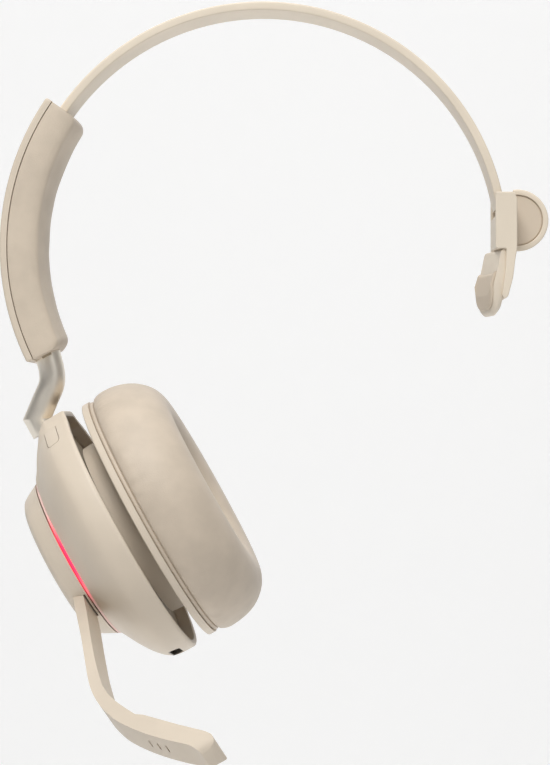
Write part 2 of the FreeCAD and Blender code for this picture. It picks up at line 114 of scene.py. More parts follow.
def object_noise(tree, scale, detail=3.0, stretch=(1, 1, 1)):
    place = add_node(tree, "ShaderNodeTexCoord").outputs["Object"]
    mapped = add_node(tree, "ShaderNodeMapping", [("Vector", place), ("Scale", stretch)])
    links = [("Vector", mapped.outputs["Vector"]), ("Scale", scale), ("Detail", detail)]
    return add_node(tree, "ShaderNodeTexNoise", links).outputs["Fac"]


def vary_colour(tree, shader, factor, dark, light):
    """The base colour wanders between two shades."""
    ramp = add_node(tree, "ShaderNodeValToRGB", [("Fac", factor)])
    ramp.color_ramp.elements[0].position = 0.35
    ramp.color_ramp.elements[0].color = (*dark, 1)
    ramp.color_ramp.elements[1].position = 0.65
    ramp.color_ramp.elements[1].color = (*light, 1)
    tree.links.new(ramp.outputs["Color"], shader.inputs["Base Color"])
    return ramp


def shade(colour, factor):
    return tuple(channel * factor for channel in colour)


def bump(tree, shader, height, strength, distance):
    node = add_node(tree, "ShaderNodeBump", [("Height", height), ("Strength", strength), ("Distance", distance)])
    tree.links.new(node.outputs["Normal"], shader.inputs["Normal"])


def moulded_plastic(name, colour, roughness, grain=3200):
    """Soft-touch moulded plastic: a fine spark-eroded grain and a faint drift of shade."""
    material, tree, shader = new_material(name, colour, roughness)
    vary_colour(tree, shader, object_noise(tree, 60), shade(colour, 0.97), shade(colour, 1.03))
    fine = object_noise(tree, grain, 2.0)
    bump(tree, shader, fine, 0.12, 0.00008)
    spread = add_node(tree, "ShaderNodeMapRange", [("Value", object_noise(tree, 220)), ("To Min", roughness - 0.05),
                                                   ("To Max", roughness + 0.06)])
    tree.links.new(spread.outputs["Result"], shader.inputs["Roughness"])
    shader.inputs["Specular IOR Level"].default_value = 0.35
    return material


def leatherette(name, colour, cell=1500):
    """Protein-leather cover: small rounded grain cells in its relief, over slow unevenness."""
    material, tree, shader = new_material(name, colour, 0.52)
    place = add_node(tree, "ShaderNodeTexCoord").outputs["Object"]
    wander = add_node(tree, "ShaderNodeTexNoise", [("Vector", place), ("Scale", 900.0), ("Detail", 2.0)])
    moved = add_node(tree, "ShaderNodeMixRGB", [("Fac", 0.0016), ("Color1", place),
                                                ("Color2", wander.outputs["Color"])])
    cells = add_node(tree, "ShaderNodeTexVoronoi", [("Vector", moved.outputs["Color"]), ("Scale", cell)],
                     feature="DISTANCE_TO_EDGE").outputs["Distance"]
    height = add_node(tree, "ShaderNodeMapRange", [("Value", cells), ("From Max", 0.22)]).outputs["Result"]
    uneven = object_noise(tree, 140, 4.0)
    vary_colour(tree, shader, uneven, shade(colour, 0.95), shade(colour, 1.04))
    total = add_node(tree, "ShaderNodeMath", [(0, height), (1, uneven)], operation="ADD").outputs["Value"]
    bump(tree, shader, total, 0.16, 0.00012)
    shader.inputs["Specular IOR Level"].default_value = 0.4
    shader.inputs["Sheen Weight"].default_value = 0.08
    return material


def satin_metal(name, colour, roughness=0.26):
    """Bead-blasted and clear-coated metal with a champagne tint."""
    material, tree, shader = new_material(name, colour, roughness)
    shader.inputs["Metallic"].default_value = 1.0
    fine = object_noise(tree, 4200, 2.0)
    vary_colour(tree, shader, object_noise(tree, 90), shade(colour, 0.97), shade(colour, 1.02))
    bump(tree, shader, fine, 0.10, 0.00006)
    spread = add_node(tree, "ShaderNodeMapRange", [("Value", object_noise(tree, 300)), ("To Min", roughness - 0.04),
                                                   ("To Max", roughness + 0.05)])
    tree.links.new(spread.outputs["Result"], shader.inputs["Roughness"])
    return material


def light_guide(name):
    """The lit ring: full red by its lamp, on the -Y side, fading to unlit translucent pink both ways round."""
    unlit, lit = (0.80, 0.55, 0.50), (0.78, 0.012, 0.045)
    material, tree, shader = new_material(name, unlit, 0.35)
    place = add_node(tree, "ShaderNodeTexCoord").outputs["Object"]
    lamp = CUP @ (Vector((-CUP_DEPTH, -FLOOR_RADIUS, 1.0)) * MM)
    away = add_node(tree, "ShaderNodeVectorMath", [(0, place), (1, tuple(lamp))], operation="DISTANCE")
    unlit_from, full_within = 15.0 * MM, 3.0 * MM
    fade = add_node(tree, "ShaderNodeMapRange", [("Value", away.outputs["Value"]), ("From Min", unlit_from),
                                                 ("From Max", full_within)],
                    interpolation_type="SMOOTHSTEP")
    strength = fade.outputs["Result"]
    mix = add_node(tree, "ShaderNodeMixRGB", [("Fac", strength), ("Color1", (*unlit, 1)), ("Color2", (*lit, 1))])
    tree.links.new(mix.outputs["Color"], shader.inputs["Base Color"])
    glow = add_node(tree, "ShaderNodeMath", [(0, strength), (1, 1.5)], operation="MULTIPLY").outputs["Value"]
    shader.inputs["Emission Color"].default_value = (1.0, 0.03, 0.10, 1)
    tree.links.new(glow, shader.inputs["Emission Strength"])
    return material


def acoustic_mesh(name, colour):
    """Knitted speaker cloth: a fine square mesh of round openings."""
    material, tree, shader = new_material(name, colour, 0.9)
    place = add_node(tree, "ShaderNodeTexCoord").outputs["Object"]
    holes = add_node(tree, "ShaderNodeTexVoronoi", [("Vector", place), ("Scale", 1400.0), ("Randomness", 0.15)])
    ramp = vary_colour(tree, shader, holes.outputs["Distance"], shade(colour, 0.25), shade(colour, 1.4))
    ramp.color_ramp.elements[0].position = 0.25
    bump(tree, shader, holes.outputs["Distance"], 0.6, 0.0002)
    return material


BEIGE = (0.66, 0.575, 0.470)
BAND_BEIGE = (0.73, 0.645, 0.530)
MATERIALS = {
    "band_plastic": moulded_plastic("band_plastic", BAND_BEIGE, 0.45),
    "beige_plastic": moulded_plastic("beige_plastic", BEIGE, 0.42),
    "boom_plastic": moulded_plastic("boom_plastic", shade(BEIGE, 0.97), 0.45),
    "inner_plastic": moulded_plastic("inner_plastic", (0.40, 0.335, 0.24), 0.55),
    "pad_leather": leatherette("pad_leather", (0.60, 0.515, 0.415)),
    "cushion_leather": leatherette("cushion_leather", (0.575, 0.49, 0.395)),
    "satin_metal": satin_metal("satin_metal", (0.93, 0.87, 0.77), 0.42),
    "spring_steel": satin_metal("spring_steel", (0.55, 0.56, 0.58), 0.3),
    "screw_steel": satin_metal("screw_steel", (0.35, 0.34, 0.33), 0.35),
    "light_guide": light_guide("light_guide"),
    "silicone": moulded_plastic("silicone", (0.62, 0.53, 0.425), 0.6, 1800),
    "speaker_fabric": acoustic_mesh("speaker_fabric", (0.12, 0.105, 0.085)),
    "dark": moulded_plastic("dark", (0.03, 0.025, 0.02), 0.6),
    "port_metal": satin_metal("port_metal", (0.32, 0.29, 0.25), 0.35),
    "board": moulded_plastic("board", (0.04, 0.20, 0.09), 0.3),
    "cell_wrap": moulded_plastic("cell_wrap", (0.28, 0.30, 0.33), 0.35),
    "magnet_metal": satin_metal("magnet_metal", (0.62, 0.62, 0.64), 0.2),
    "speaker_film": moulded_plastic("speaker_film", (0.62, 0.62, 0.58), 0.25),
}


# ------------------------------------------------------------------------------------------------ mesh helpers
def piece(name, points, faces, matrix, material, body, sharp=32):
    """A finished mesh piece from points in mm in the frame of the matrix."""
    mesh = bpy.data.meshes.new(name)
    mesh.from_pydata([matrix @ (Vector(p) * MM) for p in points], [], faces)
    mesh.validate()
    thing = bpy.data.objects.new(name, mesh)
    bpy.context.collection.objects.link(thing)
    mesh.materials.append(MATERIALS[material])
    outward(thing)
    smooth(thing, sharp)
    if body:
        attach(thing, body)
    return thing


def outward(thing):
    """Joins points that coincide and turns every face outwards."""
    work = bmesh.new()
    work.from_mesh(thing.data)
    bmesh.ops.remove_doubles(work, verts=work.verts, dist=1e-7)
    bmesh.ops.recalc_face_normals(work, faces=work.faces)
    work.to_mesh(thing.data)
    work.free()


def smooth(thing, angle):
    thing.data.shade_smooth()
    thing.data.set_sharp_from_angle(angle=math.radians(angle))


def soften(thing, width, steps=3, angle=32):
    """Rounds the sharp edges, as a mould's or a press's radius does."""
    bevel = thing.modifiers.new("edge_radius", "BEVEL")
    bevel.width = width * MM
    bevel.segments = steps
    bevel.limit_method = "ANGLE"
    bevel.angle_limit = math.radians(angle)
    bevel.harden_normals = True
    return thing


def apply_modifiers(thing):
    shown = thing.evaluated_get(bpy.context.evaluated_depsgraph_get())
    old = thing.data
    thing.data = bpy.data.meshes.new_from_object(shown)
    thing.modifiers.clear()
    bpy.data.meshes.remove(old)


def carve(thing, cutter, operation="DIFFERENCE"):
    """A boolean cut, applied at once. The cutter is used up."""
    tool = thing.modifiers.new("cut", "BOOLEAN")
    tool.operation = operation
    tool.solver = "EXACT"
    tool.object = cutter
    apply_modifiers(thing)
    bpy.data.objects.remove(cutter)
    return thing


def rounded(corners, radius, steps=5, closed=True):
    """The corners of an outline with each one turned into an arc, smaller where its sides are short."""
    points = [Vector(c) for c in corners]
    count = len(points)
    result = []
    for index, corner in enumerate(points):
        if not closed and index in (0, count - 1):
            result.append(tuple(corner))
            continue
        before, after = points[index - 1] - corner, points[(index + 1) % count] - corner
        half = before.angle(after) / 2
        size = radius[index] if isinstance(radius, (list, tuple)) else radius
        if size <= 0 or half > math.radians(88):
            result.append(tuple(corner))
            continue
        reach = min(size / math.tan(half), before.length * 0.45, after.length * 0.45)
        start, end = corner + before.normalized() * reach, corner + after.normalized() * reach
        for step in range(steps + 1):
            t = step / steps
            result.append(tuple(start * (1 - t) ** 2 + corner * 2 * t * (1 - t) + end * t ** 2))
    return result


def flowing(corners, steps=6):
    """A smooth open curve through the corners (Catmull-Rom)."""
    points = [Vector(c) for c in corners]
    points = [2 * points[0] - points[1]] + points + [2 * points[-1] - points[-2]]
    result = []
    for a, b, c, d in zip(points, points[1:], points[2:], points[3:]):
        for step in range(steps):
            t = step / steps
            result.append(tuple(0.5 * (2 * b + (c - a) * t + (2 * a - 5 * b + 4 * c - d) * t * t
                                       + (3 * b - a - 3 * c + d) * t ** 3)))
    return result + [tuple(points[-2])]


def lathe(name, profile, matrix, material, body, turns=160, shape=None, sharp=32):
    """A closed (depth, radius) loop turned about X. shape may move each point, given its angle from the top."""
    points, rings = [], []
    for depth, radius in profile:
        if radius < 1e-6:
            rings.append([len(points)])
            points.append((depth, 0, 0))
            continue
        rings.append(list(range(len(points), len(points) + turns)))
        for turn in range(turns):
            angle = 2 * math.pi * turn / turns
            d, r = shape(depth, radius, angle) if shape else (depth, radius)
            points.append((d, -r * math.sin(angle), r * math.cos(angle)))
    faces = []
    for here, there in zip(rings, rings[1:] + rings[:1]):
        if len(here) == 1 and len(there) == 1:
            continue
        for turn in range(turns):
            after = (turn + 1) % turns
            if len(here) == 1:
                faces.append((here[0], there[after], there[turn]))
            elif len(there) == 1:
                faces.append((here[turn], here[after], there[0]))
            else:
                faces.append((here[turn], here[after], there[after], there[turn]))
    return piece(name, points, faces, matrix, material, body, sharp)


def loft(name, rings, matrix, material, body, sharp=32):
    """A skin over rings of equal length, closed at both ends."""
    size = len(rings[0])
    points = [point for ring in rings for point in ring]
    faces = [tuple(range(size)), tuple(range(len(points) - size, len(points)))]
    for row in range(len(rings) - 1):
        for column in range(size):
            after = (column + 1) % size
            low, high = row * size, (row + 1) * size
            faces.append((low + column, low + after, high + after, high + column))
    return piece(name, points, faces, matrix, material, body, sharp)


def plate(name, outline, low, high, matrix, material, body, edge=0.4, sharp=32):
    """An (X, Z) outline with a thickness along Y, and rounded edges."""
    rings = [[(x, y, z) for x, z in outline] for y in (low, high)]
    thing = loft(name, rings, matrix, material, body, sharp)
    return soften(thing, edge, angle=40) if edge else thing


def on_arc(radius, angle, side):
    turn = math.radians(angle)
    return (radius * math.cos(turn), side, radius * math.sin(turn))


def arc_angles(first, last, steps, end_steps=0, end_size=0.0):
    """Even angles, with more of them close to both ends where the form rounds off."""
    ends = [end_size * (1 - math.cos(math.pi / 2 * k / end_steps)) for k in range(end_steps)] if end_steps else []
    middle = [first + end_size + (last - first - 2 * end_size) * k / steps for k in range(steps + 1)]
    return [first + e for e in ends] + middle + [last - e for e in reversed(ends)]


def cap_profile(half_width, inner, outer, edge, inner_edge, crown=0.0, steps=10):
    """A band's section as (radius, side) points: rounded edges, and an inner face crowned towards the head."""
    corners = [(outer, -half_width), (outer, half_width), (inner + crown, half_width), (inner + crown, -half_width)]
    loop = rounded(corners, [edge, edge, inner_edge, inner_edge])
    if not crown:
        return loop
    reach = half_width - inner_edge
    ridge = [(inner + crown * (side / reach) ** 2, side) for side in
             (reach * (1 - 2 * k / steps) for k in range(1, steps))]
    points_each, corners_before = 6, 3
    inner_face = points_each * corners_before
    return loop[:inner_face] + ridge + loop[inner_face:]


# ------------------------------------------------------------------------------------------------ headband
def make_band():
    """The slim moulded strip over its spring: crisp long edges with a small radius."""
    section = cap_profile(BAND_HALF, BAND_INNER, BAND_OUTER, 0.55, 0.45)
    rings = [[on_arc(r, a, y) for r, y in section] for a in arc_angles(9.2, 158.0, 220)]
    band = loft("band_strip", rings, WORLD, "band_plastic", "headband", sharp=50)
    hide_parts("band_cover")


def end_pull(distance, size):
    """How far a rounded end draws in, at a distance from the end."""
    if distance >= size:
        return 0.0
    return size - math.sqrt(max(0.0, size ** 2 - (size - distance) ** 2))


def make_sleeve():
    """The hard back shell, and the padded front that is crowned, puffed at its ends and dimpled by its filling."""
    shell_section = cap_profile(SLEEVE_HALF + 0.1, SHELL_INNER, SHELL_OUTER, 0.9, 0.15)
    rings = []
    for a in arc_angles(SLEEVE_FIRST, SLEEVE_LAST, 90, 6, 0.8):
        gap = min(a - SLEEVE_FIRST, SLEEVE_LAST - a) * math.radians(1) * SHELL_OUTER
        pull = end_pull(gap, 0.8)
        rings.append([on_arc(min(r, SHELL_OUTER - pull), a, y * (1 - pull * 0.03)) for r, y in shell_section])
    shell = loft("sleeve_back", rings, WORLD, "beige_plastic", "headband", sharp=50)
    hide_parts("sleeve_shell")

    crown, corner = 1.5, 2.6
    section = cap_profile(SLEEVE_HALF, PAD_INNER, SHELL_INNER - 0.14, 0.35, corner, crown)
    rings = []
    for a in arc_angles(SLEEVE_FIRST + 0.1, SLEEVE_LAST - 0.1, 150, 10, 2.6):
        gap = min(a - SLEEVE_FIRST - 0.1, SLEEVE_LAST - 0.1 - a) * math.radians(1) * PAD_INNER
        pull = end_pull(gap, corner)
        side_pull = end_pull(gap, 0.7)
        ring = []
        for r, y in section:
            depth = min(1.0, max(0.0, (SHELL_INNER - r) / (SHELL_INNER - PAD_INNER)))
            puff = 0.18 * noise.noise(Vector((a * 0.16, y * 0.12, r * 0.1))) * depth
            bow = 0.35 * math.sin(math.pi * depth) * (1 if abs(y) > SLEEVE_HALF - 0.05 else 0)
            side = y + math.copysign(bow - side_pull * depth, y)
            ring.append(on_arc(r + pull * depth + puff, a, side))
        rings.append(ring)
    pad = loft("sleeve_cushion", rings, WORLD, "pad_leather", "headband", sharp=60)
    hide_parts("sleeve_pad")


# ------------------------------------------------------------------------------------------------ arm
def make_arm():
    """The bent rod: a soft upper bend, then a crisp mitre at the knee above the cup's socket."""
    knee = CUP @ (Vector((-SWIVEL_OFFSET, 0, 38.2)) * MM) / MM
    foot = CUP @ (Vector((-SWIVEL_OFFSET, 0, 33.9)) * MM) / MM
    start = Vector(on_arc(ROD_CIRCLE, SLEEVE_LAST - 0.6, 0))
    route = [start, Vector((-57.0, 0, -33.0)), Vector((-57.0, 0, -36.6)), Vector((-58.7, 0, -40.8))]
    path = [Vector(p) for p in flowing(route, 12)] + [knee, foot]
    rings = []
    for index, point in enumerate(path):
        before = (point - path[max(index - 1, 0)]).normalized()
        after = (path[min(index + 1, len(path) - 1)] - point).normalized()
        along = (before + after).normalized()
        stretch = 1 / max(0.5, along.dot(after if after.length else before))
        side = Vector((0, 1, 0))
        out = along.cross(side)
        rings.append([point + side * ROD_RADIUS * math.cos(t) + out * ROD_RADIUS * stretch * math.sin(t)
                      for t in (2 * math.pi * k / 64 for k in range(64))])
    arm = loft("bent_arm", rings, WORLD, "satin_metal", "arm", sharp=18)
    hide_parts("arm_rod")


# ------------------------------------------------------------------------------------------------ ear cup
LUG = [(-16.0, 22.6), (-13.9, 25.6), (-12.1, 28.8), (-8.2, 34.6), (-6.0, 36.2), (0.5, 36.4)]
LUG_HALF = 10.5
BUTTON_ANGLE, BUTTON_DEPTH = 29.0, -5.1
PORT_ANGLE, PORT_DEPTH = 166.5, -4.8


BOWL = flowing([(-0.5, CUP_RADIUS), (-3.0, CUP_RADIUS - 0.02), (-5.6, 35.7), (-7.4, 34.9), (-9.6, 32.9),
                (-12.2, 29.4), (-14.6, 25.2), (-CUP_DEPTH, FLOOR_RADIUS)], 5)


def lug_height(depth):
    """The height of the flat on top of the housing, where the arm goes in."""
    for (d0, z0), (d1, z1) in zip(LUG, LUG[1:]):
        if d0 <= depth <= d1:
            return z0 + (z1 - z0) * (depth - d0) / (d1 - d0)
    return None


def bowl_radius(depth):
    """The round bowl's outer radius at a depth."""
    for (d0, r0), (d1, r1) in zip(BOWL, BOWL[1:]):
        if d1 <= depth <= d0:
            return r0 + (r1 - r0) * (depth - d0) / (d1 - d0)
    return CUP_RADIUS if depth > BOWL[0][0] else FLOOR_RADIUS


def housing_shape(depth, radius, angle):
    """Raises the bowl's wall, inside and out, to the flat of the lug near the top."""
    height = lug_height(depth)
    from_top = min(angle, 2 * math.pi - angle)
    if height is None or from_top > 0.9 or radius < FLOOR_RADIUS - 2:
        return depth, radius
    outer = bowl_radius(depth)
    rise = max(0.0, height / math.cos(from_top) - outer)
    across = abs(outer * math.sin(from_top))
    blend = max(0.0, min(1.0, (LUG_HALF + 2.5 - across) / 5.0))
    blend = blend * blend * (3 - 2 * blend)
    wall = min(1.0, max(0.0, (radius - FLOOR_RADIUS + 2) / 3))
    return depth, radius + rise * blend * wall


def rim_frame(angle):
    """A frame on the cup's axis with Z out through the rim at an angle from the top towards -Y."""
    return CUP @ Matrix.Rotation(math.radians(angle), 4, "X")


def rim_outline(depth, length, width, corner, angle, low, high, name):
    """A block with rounded corners through the rim, used to cut or to fill: length is along the cup's axis."""
    half_l, half_w = length / 2, width / 2
    corners = [(depth - half_l, -half_w), (depth + half_l, -half_w),
               (depth + half_l, half_w), (depth - half_l, half_w)]
    outline = rounded(corners, corner, 8)
    rings = [[(x, y, z) for x, y in outline] for z in (low, high)]
    return loft(name, rings, rim_frame(angle), "dark", None)


def housing_profile():
    inner = [(-CUP_DEPTH + 0.5, FLOOR_RADIUS - 0.25), (-CUP_DEPTH + 0.5, 6.0), (-CUP_DEPTH + 2, 6.0),
             (-CUP_DEPTH + 2, FLOOR_RADIUS - 1.2), (-9.8, 29.6), (-5.2, 33.8), (0.0, 34.2), (0.2, 34.5),
             (0.2, 35.5), (-0.1, 35.85)]
    return BOWL + inner


def make_housing():
    """The outer bowl with its lug, the arm's socket, the call button's slot, the port and the far-side controls."""
    housing = lathe("cup_bowl", housing_profile(), CUP, "beige_plastic", "ear_cup", turns=240, shape=housing_shape,
                    sharp=38)
    socket = [[(-SWIVEL_OFFSET + 3.75 * math.cos(t), 3.75 * math.sin(t), z)
               for t in (2 * math.pi * k / 48 for k in range(48))] for z in (29.3, 60)]
    carve(housing, loft("socket", socket, CUP, "dark", None))
    carve(housing, rim_outline(PORT_DEPTH, 3.3, 9.0, 1.6, PORT_ANGLE, 30, 42, "port_cut"))
    carve(housing, rim_outline(-5.0, 4.0, 16.4, 1.2, -90, 30, 42, "rocker_cut"))
    carve(housing, rim_outline(-5.0, 3.0, 9.0, 0.8, -125, 30, 42, "power_cut"))
    button = housing.copy()
    button.data = housing.data.copy()
    bpy.context.collection.objects.link(button)
    button.name = "call_tab"
    button.parent = None
    width, length, gap = 3.6, 8.5, 0.16
    carve(button, tab_outline(width / 2, length / 2, 0.0, 34.1, "tab_shape"), "INTERSECT")
    carve(housing, tab_outline(width / 2, length / 2, gap, 30, "tab_room"))
    smooth(housing, 38)
    smooth(button, 38)
    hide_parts("cup_housing")
    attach(button, "call_button")
    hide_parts("call_button")


def tab_outline(half_width, half_length, gap, low, name):
    """The call tab's tongue: round at its free end, and joined without a gap at the end nearer the top."""
    wide, end = half_width + gap, -half_length - gap
    corners = [(BUTTON_DEPTH - wide, end), (BUTTON_DEPTH + wide, end), (BUTTON_DEPTH + wide, half_length + gap / 8),
               (BUTTON_DEPTH - wide, half_length + gap / 8)]
    outline = rounded(corners, [wide - 0.1, wide - 0.1, 0.05, 0.05], 8)
    rings = [[(x, y, z) for x, y in outline] for z in (low, 42)]
    return loft(name, rings, rim_frame(BUTTON_ANGLE), "dark", None)


def rim_button(name, angle, length, width, low, high, body, node, corner=1.0, dome=0.35):
    """A slim key through the rim with a rounded, slightly hollowed top."""
    half_l, half_w = length / 2, width / 2
    corners = [(-half_l, -half_w), (half_l, -half_w), (half_l, half_w), (-half_l, half_w)]
    outline = rounded(corners, corner, 8)
    rings = []
    for z, shrink in ((low, 1.0), (high - 0.7, 1.0), (high - 0.35, 0.98), (high - 0.1, 0.93), (high, 0.84)):
        rings.append([(-5.0 + x * shrink, y * shrink, z - dome * (y / half_w) ** 2 * 0.6) for x, y in outline])
    key = loft(name, rings, rim_frame(angle), "beige_plastic", body, sharp=50)
    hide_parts(node)
    return key


def make_cup_details():
    light = [(-CUP_DEPTH - 0.62, FLOOR_RADIUS - 0.35), (-CUP_DEPTH - 0.5, FLOOR_RADIUS - 0.05),
             (-CUP_DEPTH + 0.1, FLOOR_RADIUS - 0.02), (-CUP_DEPTH + 0.1, 20.9), (-CUP_DEPTH - 0.62, 20.9)]
    ring = lathe("light_line", light, CUP, "light_guide", "ear_cup", turns=200)
    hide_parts("light_ring")
    rim_button("volume_key", -90, 3.6, 15.8, 34.0, 36.7, "volume_rocker", "volume_rocker")
    for number, side in enumerate((-5.2, 5.2)):
        arms = ((1.6, 0.35), (0.35, 1.6)) if number else ((0.35, 1.6),)
        for turn, (along, across) in enumerate(arms):
            corners = [(-5 - along / 2, side - across / 2), (-5 + along / 2, side - across / 2),
                       (-5 + along / 2, side + across / 2), (-5 - along / 2, side + across / 2)]
            rings = [[(x, y, z) for x, y in corners] for z in (36.2, 36.62)]
            loft(f"volume_sign_{number}_{turn}", rings, rim_frame(-90), "dark", "volume_rocker")
    frame_ring = rim_outline(-5.0, 2.9, 8.9, 0.7, -125, 34.0, 35.3, "power_bezel")
    carve(frame_ring, rim_outline(-5.0, 2.2, 8.0, 0.5, -125, 33, 42, "power_way"))
    frame_ring.data.materials[0] = MATERIALS["inner_plastic"]
    smooth(frame_ring, 32)
    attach(frame_ring, "ear_cup")
    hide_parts("power_window")
    make_port()


def make_port():
    """The charging port: a stadium-shaped metal shell with its tongue."""
    shell = rim_outline(PORT_DEPTH, 3.2, 8.9, 1.55, PORT_ANGLE, 28.5, 35.4, "port_shell")
    carve(shell, rim_outline(PORT_DEPTH, 2.6, 8.3, 1.28, PORT_ANGLE, 29.5, 42, "port_hollow"))
    shell.data.materials[0] = MATERIALS["port_metal"]
    smooth(shell, 32)
    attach(shell, "ear_cup")
    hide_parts("charging_port")
    tongue = rim_outline(PORT_DEPTH, 0.7, 6.7, 0.2, PORT_ANGLE, 29.0, 34.3, "port_tongue")
    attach(tongue, "ear_cup")


# ------------------------------------------------------------------------------------------------ speaker side
PLATE_BACK, PLATE_FRONT, PLATE_RADIUS = 4.5, 6.5, 35.3


def make_speaker():
    """The mounting plate with its lip, the piped seam, and the cushion, puckered where the cover is gathered."""
    plate_profile = [(-0.9, 3.4)] + rounded([(-0.9, 25.0), (PLATE_BACK, 25.3), (PLATE_BACK, PLATE_RADIUS),
                                            (PLATE_FRONT, PLATE_RADIUS)], [0.8, 1.2, 0.5, 0.4], 5, False)
    body = lathe("cushion_mount", plate_profile + [(PLATE_FRONT, 3.4)], CUP, "beige_plastic", "speaker", turns=200)
    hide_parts("speaker_plate")
    bead = [(PLATE_FRONT + 0.62 + 0.6 * math.cos(t), PLATE_RADIUS - 1.0 + 0.6 * math.sin(t))
            for t in (2 * math.pi * k / 14 for k in range(14))]
    piping = lathe("cushion_piping", bead, CUP, "cushion_leather", "speaker", turns=200)
    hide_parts("cushion_ring")

    seam = PLATE_FRONT + 1.2
    skin = flowing([(seam, 34.4), (seam + 0.7, 35.3), (10.5, 35.95), (14.0, 35.8), (17.4, 34.9), (20.6, 33.1),
                    (23.3, 30.4), (24.8, 27.2), (CUSHION_FRONT, 24.2), (24.3, 21.0), (22.4, 18.7), (19.0, 17.2),
                    (15.0, 16.9), (12.2, 17.0)], 7)
    skin += [(seam, 17.1)]

    def gathered(depth, radius, angle):
        """Small folds that start at the seam and die out over the side of the cushion."""
        at = Vector((math.cos(angle) * 6.5, math.sin(angle) * 6.5, depth * 0.05))
        fold = noise.noise(at * 2.6) * 0.5 + noise.noise(at * 7.0) * 0.5
        near = math.exp(-max(0.0, depth - seam - 0.3) / 3.4) if radius > 30 else 0.0
        soft = noise.noise(Vector((math.cos(angle) * 1.5, math.sin(angle) * 1.5, depth * 0.12)))
        start = min(1.0, (depth - seam) / 0.6)
        return depth, radius + (0.42 * fold * near + 0.18 * soft) * max(0.0, start)

    cushion = lathe("ear_cushion_cover", skin, CUP, "cushion_leather", "speaker", turns=320, shape=gathered,
                    sharp=60)
    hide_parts("ear_cushion")
    cloth = [(11.4, 0.0), (11.4, 17.0), (11.9, 17.0), (12.25, 12.0), (12.5, 0.0)]
    cover = lathe("speaker_cover", cloth, CUP, "speaker_fabric", "speaker", turns=96)
    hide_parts("speaker_cloth")


# ------------------------------------------------------------------------------------------------ boom
# Outlines are (distance from the cup's axis, depth along it). SPLIT is where the head's two halves meet.
HUB_BACK, HUB_FRONT, HUB_SPLIT, SPLIT_RADIUS, BOOM_ROOT = -16.6, -22.6, -20.6, 20.85, 13.5
BOOM_REACH = 99.2
OUTER_EDGE = [(28.5, -20.9), (38.7, -21.6), (48.0, -22.5), (55.5, -23.15), (60.5, -23.15), (65.5, -22.5),
              (70.5, -21.2), (76.0, -19.0), (83.8, -14.4), (90.4, -9.6), (95.0, -5.8), (97.0, -4.4)]
TIP = [(97.0, -4.4), (99.1, -3.2), (98.9, -1.0)]
SPLIT = [(77.0, -15.0), (88.3, -6.7), (94.6, -2.0), (97.2, -0.8), (98.9, -1.0)]
HEAD_TOP = [(98.3, 0.95), (96.6, 0.95), (94.4, -0.35), (87.6, -5.7), (77.9, -12.9), (76.2, -14.7)]
INNER_EDGE = [(76.2, -14.7), (70.6, -17.2), (65.5, -19.1), (61.0, -20.0), (57.0, -20.15), (49.2, -19.9),
              (39.5, -19.1), (28.7, -18.0)]


def boom_outline(points):
    """(distance from the axis, depth) pairs become (X, Z) of the boom's frame."""
    return [(depth, -reach) for reach, depth in points]


def boom_plan():
    """The boom seen square to its flat side: straight edges and a tip with well rounded corners."""
    half, wide, root, straight = BOOM_HALF, BOOM_HALF + 1, -5.0, -60.0
    corners = [(-wide, root), (wide, root), (wide, straight), (half, straight), (half, -BOOM_REACH),
               (-half, -BOOM_REACH), (-half, straight), (-wide, straight)]
    outline = rounded(corners, [0, 0, 0, 0, 2.6, 3.6, 0, 0], 10)
    return loft("boom_plan", [[(x, y, z) for y, z in outline] for x in (-30, 10)], BOOM, "dark", None)


def make_hub():
    """The round boss, with a slot in its side for the boom's root, and its softly rounded front cover."""
    corners = [(HUB_BACK, 23.0), (-19.9, 21.3), (-21.6, 20.2), (HUB_FRONT + 0.15, 18.4)]
    side = rounded(corners, [0, 1.2, 2.4, 1.6], 5, False)
    base = ([(HUB_BACK, 0.0), (HUB_BACK, 22.8)] + [p for p in side if p[0] > HUB_SPLIT]
            + [(HUB_SPLIT, SPLIT_RADIUS), (HUB_SPLIT, 0.0)])
    front = ([(HUB_SPLIT, 0.0), (HUB_SPLIT, SPLIT_RADIUS)] + [p for p in side if p[0] < HUB_SPLIT]
             + [(HUB_FRONT - 0.05, 9.0), (HUB_FRONT - 0.1, 0.0)])
    boss = lathe("boom_boss", base, BOOM, "beige_plastic", "boom", turns=200, sharp=40)
    gap = 0.06
    slot = [(-20.3, -BOOM_ROOT + gap), (-17.0, -BOOM_ROOT + gap), (-17.3, -30), (-20.3, -30)]
    half = BOOM_HALF + gap
    carve(boss, loft("root_room", [[(x, y, z) for x, z in slot] for y in (-half, half)], BOOM, "dark", None))
    smooth(boss, 40)
    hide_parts("boom_hub")
    cover = lathe("boss_cover", front, BOOM, "beige_plastic", "boom", turns=200, sharp=40)
    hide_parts("hub_cap")


